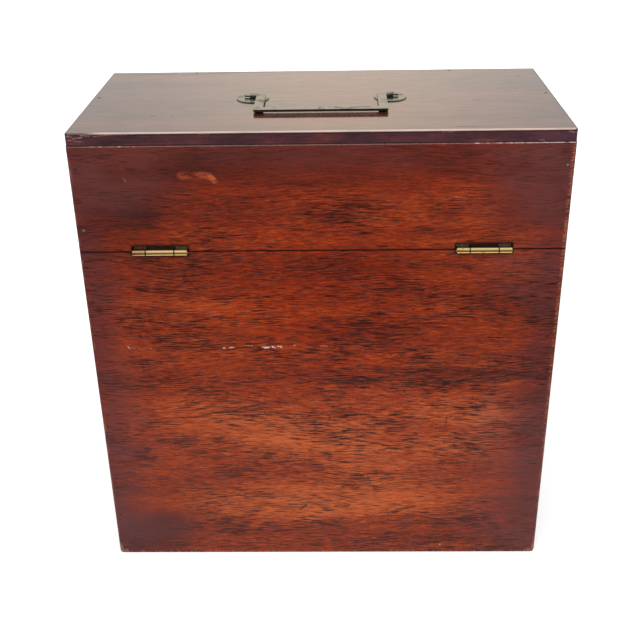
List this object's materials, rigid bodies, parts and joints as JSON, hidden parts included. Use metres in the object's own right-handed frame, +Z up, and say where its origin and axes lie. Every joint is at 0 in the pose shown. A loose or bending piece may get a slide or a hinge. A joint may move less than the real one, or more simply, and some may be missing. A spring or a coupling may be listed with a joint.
{
  "type": "decanter box",
  "caption": "Hinged-lid wooden decanter box with padded cells, brass butt hinges, a folding bail handle on the lid and a lock let into the front.",
  "frame": {"origin": "middle of the box's footprint, on the underside that it stands on", "axes": "+Z up; +Y towards the front, where the lock is, so the hinges are at -Y; +X to the right when the hinge side is viewed"},
  "size_m": [0.278, 0.1415, 0.2934],
  "materials": {
    "mahogany": "dark red-brown mahogany with old shellac polish, grain running along the width",
    "top_board": "mahogany top board, polished and a little faded",
    "bottom_board": "plain unpolished secondary wood",
    "inner_wood": "unpolished mahogany",
    "baize": "green wool baize",
    "brads": "dark iron heads, filled and polished over",
    "hinge_brass": "worn brass with dark patina in the joints",
    "handle_brass": "dull greenish aged brass",
    "lock_brass": "aged brass",
    "lock_steel": "filed steel"
  },
  "bodies": {
    "case": {"case_back": "mahogany", "case_front": "mahogany", "case_left": "mahogany", "case_right": "mahogany", "case_bottom": "bottom_board", "cell_divider": "inner_wood", "cell_pad_left": "baize", "cell_pad_right": "baize", "case_corner_brads": "brads", "case_bottom_brads": "brads", "hinge_case_leaf_left": "hinge_brass", "hinge_case_leaf_right": "hinge_brass", "hinge_case_screws": "hinge_brass", "lock_plate": "lock_brass", "lock_cap": "lock_brass", "lock_drill_pin": "lock_steel", "lock_stumps": "lock_steel", "lock_screws": "lock_brass", "keyhole_liner": "lock_brass"},
    "lid": {"lid_back": "mahogany", "lid_front": "mahogany", "lid_left": "mahogany", "lid_right": "mahogany", "lid_top": "top_board", "lid_lining": "baize", "lid_corner_brads": "brads", "lid_top_brads": "brads", "hinge_lid_leaf_left": "hinge_brass", "hinge_lid_leaf_right": "hinge_brass", "hinge_pin_left": "hinge_brass", "hinge_pin_right": "hinge_brass", "hinge_lid_screws": "hinge_brass", "link_plate": "lock_brass", "link_plate_screws": "lock_brass", "handle_plate_left": "handle_brass", "handle_plate_right": "handle_brass", "handle_plate_screws": "handle_brass"},
    "bail": {"handle_bail": "handle_brass"},
    "bolt": {"lock_bolt": "lock_steel"}
  },
  "joints": [
    {"name": "lid_hinge", "type": "hinge", "parent": "case", "child": "lid", "pos_m": [0, -0.0706, 0.2202], "axis": [1, 0, 0], "range_deg": [0, 180]},
    {"name": "handle_swing", "type": "hinge", "parent": "lid", "child": "bail", "pos_m": [0, -0.001, 0.29175], "axis": [-1, 0, 0], "range_deg": [0, 180]},
    {"name": "lock_bolt_slide", "type": "slide", "parent": "case", "child": "bolt", "axis": [1, 0, 0], "range_m": [0, 0.004]}
  ]
}
